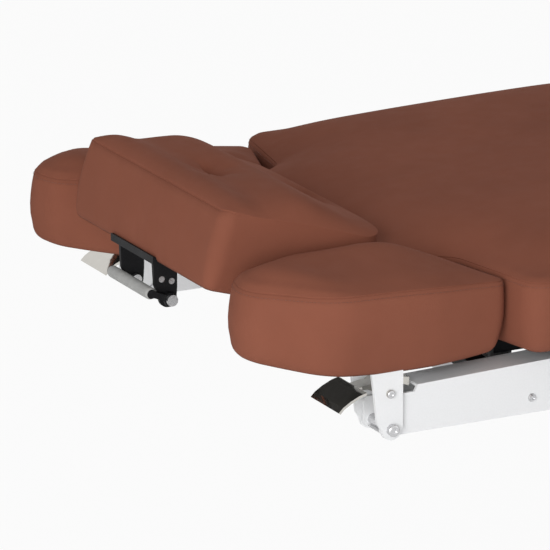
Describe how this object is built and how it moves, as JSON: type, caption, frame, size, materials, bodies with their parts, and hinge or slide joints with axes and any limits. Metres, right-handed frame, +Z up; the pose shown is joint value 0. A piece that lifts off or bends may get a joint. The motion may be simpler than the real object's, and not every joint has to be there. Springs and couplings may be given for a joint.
{
  "type": "spa massage lounger",
  "caption": "Height-adjustable spa lounger with crowned leather-look back, seat and leg sections, a tufted tilting headrest, tilting armrests with release paddles, and lifting columns.",
  "frame": {"origin": "on the floor, under the middle of the lounger's length and width", "axes": "+X towards the feet end, -X towards the headrest, +Y to the client's left when lying face up, +Z up"},
  "size_m": [1.96, 0.8376, 0.827],
  "materials": {
    "upholstery": "satin",
    "white_frame": "satin",
    "black_frame": "satin",
    "black_board": "matte",
    "bright_steel": "satin",
    "polished_chrome": "polished",
    "column_paint": "satin",
    "grey_foam": "matte",
    "black_rubber": "matte",
    "grey_plastic": "matte",
    "black_plastic": "matte",
    "actuator_tube": "satin"
  },
  "bodies": {
    "base": {"base_spine": "white_frame", "base_cross_foot_head": "white_frame", "base_cross_foot_foot": "white_frame", "rubber_feet": "black_rubber", "column_outer_head": "column_paint", "column_outer_foot": "column_paint", "control_box": "grey_plastic", "mains_inlet": "black_plastic"},
    "column_middles": {"column_middle_head": "column_paint", "column_middle_foot": "column_paint"},
    "top_frame": {"column_inner_head": "column_paint", "column_inner_foot": "column_paint", "column_head_plates": "white_frame", "side_rail_left": "white_frame", "side_rail_right": "white_frame", "cross_tube_head": "white_frame", "cross_tube_middle": "white_frame", "cross_tube_foot": "white_frame", "rail_screws": "bright_steel", "rest_bumpers": "black_rubber", "shoulder_brackets": "black_frame", "seat_board": "black_board", "seat_pad": "upholstery", "back_hinge_ears": "white_frame", "back_hinge_bolts": "bright_steel", "leg_hinge_pins": "bright_steel", "armrest_pivots": "bright_steel"},
    "back": {"backrest_pad": "upholstery", "back_board": "black_board", "back_side_tubes": "black_frame", "back_cross_tube_head": "black_frame", "back_cross_tube_foot": "black_frame", "back_hinge_straps": "black_frame", "headrest_hinge_forks": "black_frame", "headrest_hinge_pins": "bright_steel"},
    "back_actuator": {"back_actuator": "actuator_tube"},
    "back_actuator_rod": {"back_actuator_rod": "bright_steel"},
    "leg": {"leg_pad": "upholstery", "leg_board": "black_board", "leg_side_tubes": "black_frame", "leg_cross_tube_head": "black_frame", "leg_cross_tube_foot": "black_frame"},
    "leg_actuator": {"leg_actuator": "actuator_tube"},
    "leg_actuator_rod": {"leg_actuator_rod": "bright_steel"},
    "headrest": {"headrest_pad": "upholstery", "headrest_board": "black_board", "headrest_hinge_leaves": "black_frame", "latch_bracket": "black_frame", "latch_bolts": "bright_steel"},
    "latch_lever": {"latch_lever": "black_frame", "latch_grip": "grey_foam"},
    "armrest_left": {"armrest_pad_left": "upholstery", "armrest_board_left": "black_board", "armrest_bracket_left": "white_frame"},
    "armrest_right": {"armrest_pad_right": "upholstery", "armrest_board_right": "black_board", "armrest_bracket_right": "white_frame"},
    "release_paddle_left": {"release_paddle_left": "polished_chrome"},
    "release_paddle_right": {"release_paddle_right": "polished_chrome"}
  },
  "joints": [
    {"name": "table_lift", "type": "slide", "parent": "base", "child": "top_frame", "axis": [0, 0, 1], "range_m": [-0.2, 0.1]},
    {"name": "column_middle_slide", "type": "slide", "parent": "base", "child": "column_middles", "axis": [0, 0, 1], "range_m": [-0.1, 0.05]},
    {"name": "back_tilt", "type": "hinge", "parent": "top_frame", "child": "back", "pos_m": [-0.045, 0, 0.727], "axis": [0, 1, 0], "range_deg": [0, 60]},
    {"name": "back_actuator_swing", "type": "hinge", "parent": "top_frame", "child": "back_actuator", "pos_m": [0.00152, 0, 0.48711], "axis": [0, 1, 0], "range_deg": [0, 30]},
    {"name": "back_rod_swing", "type": "hinge", "parent": "back", "child": "back_actuator_rod", "pos_m": [-0.25, 0, 0.594], "axis": [0, 1, 0], "range_deg": [-30, 0]},
    {"name": "leg_tilt", "type": "hinge", "parent": "top_frame", "child": "leg", "pos_m": [0.344, 0, 0.613], "axis": [0, 1, 0], "range_deg": [0, 35]},
    {"name": "leg_actuator_swing", "type": "hinge", "parent": "top_frame", "child": "leg_actuator", "pos_m": [0.20623, 0, 0.50015], "axis": [0, 1, 0], "range_deg": [0, 17.5]},
    {"name": "leg_rod_swing", "type": "hinge", "parent": "leg", "child": "leg_actuator_rod", "pos_m": [0.519, 0, 0.58], "axis": [0, 1, 0], "range_deg": [-17.5, 0]},
    {"name": "headrest_tilt", "type": "hinge", "parent": "back", "child": "headrest", "pos_m": [-0.723, 0, 0.622], "axis": [0, 1, 0], "range_deg": [-48, 0]},
    {"name": "headrest_release", "type": "hinge", "parent": "headrest", "child": "latch_lever", "pos_m": [-0.946, 0, 0.665], "axis": [0, -1, 0], "range_deg": [0, 20], "stiffness_Nm_per_rad": 0.6, "springref_deg": -17.19},
    {"name": "armrest_tilt_left", "type": "hinge", "parent": "top_frame", "child": "armrest_left", "pos_m": [-0.795, 0.334, 0.56], "axis": [0, -1, 0], "range_deg": [0, 30]},
    {"name": "paddle_press_left", "type": "hinge", "parent": "armrest_left", "child": "release_paddle_left", "pos_m": [-0.798, 0.334, 0.607], "axis": [0, 1, 0], "range_deg": [0, 12], "stiffness_Nm_per_rad": 0.6, "springref_deg": -17.19},
    {"name": "armrest_tilt_right", "type": "hinge", "parent": "top_frame", "child": "armrest_right", "pos_m": [-0.795, -0.334, 0.56], "axis": [0, -1, 0], "range_deg": [0, 30]},
    {"name": "paddle_press_right", "type": "hinge", "parent": "armrest_right", "child": "release_paddle_right", "pos_m": [-0.798, -0.334, 0.607], "axis": [0, 1, 0], "range_deg": [0, 12], "stiffness_Nm_per_rad": 0.6, "springref_deg": -17.19}
  ],
  "couplings": [
    {"joint": "column_middle_slide", "follows": "table_lift", "ratio": 0.5},
    {"joint": "back_actuator_swing", "follows": "back_tilt", "ratio": 0.5},
    {"joint": "back_rod_swing", "follows": "back_tilt", "ratio": -0.5},
    {"joint": "leg_actuator_swing", "follows": "leg_tilt", "ratio": 0.5},
    {"joint": "leg_rod_swing", "follows": "leg_tilt", "ratio": -0.5}
  ]
}
